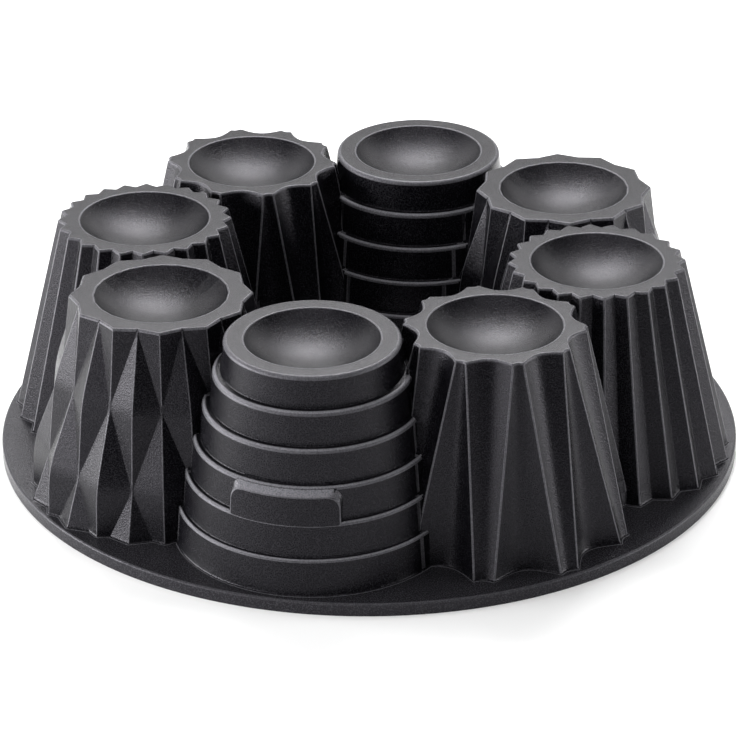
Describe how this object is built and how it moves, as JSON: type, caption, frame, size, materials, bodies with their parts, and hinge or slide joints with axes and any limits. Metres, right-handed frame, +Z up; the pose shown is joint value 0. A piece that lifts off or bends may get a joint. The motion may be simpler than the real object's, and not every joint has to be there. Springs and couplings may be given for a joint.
{
  "type": "ring cake mould",
  "caption": "Round cast ring-cake mould whose ring is made of tapered tower cups in stepped, pleated, fluted and diamond patterns, on a flat rim.",
  "frame": {"origin": "centre of the mould on the plane of the rim's underside, on which it stands with the cups up", "axes": "+Z up along the mould's axis; the ring cup that carries the raised pad lies towards -Y"},
  "size_m": [0.2748, 0.2748, 0.0803],
  "materials": {
    "coated_aluminium": "satin"
  },
  "bodies": {
    "root": {"rim_flange": "coated_aluminium", "centre_flange": "coated_aluminium", "ring_cup_front": "coated_aluminium", "pleat_cup_front_right": "coated_aluminium", "flute_cup_right": "coated_aluminium", "diamond_cup_back_right": "coated_aluminium", "ring_cup_back": "coated_aluminium", "pleat_cup_back_left": "coated_aluminium", "flute_cup_left": "coated_aluminium", "diamond_cup_front_left": "coated_aluminium"}
  },
  "joints": []
}
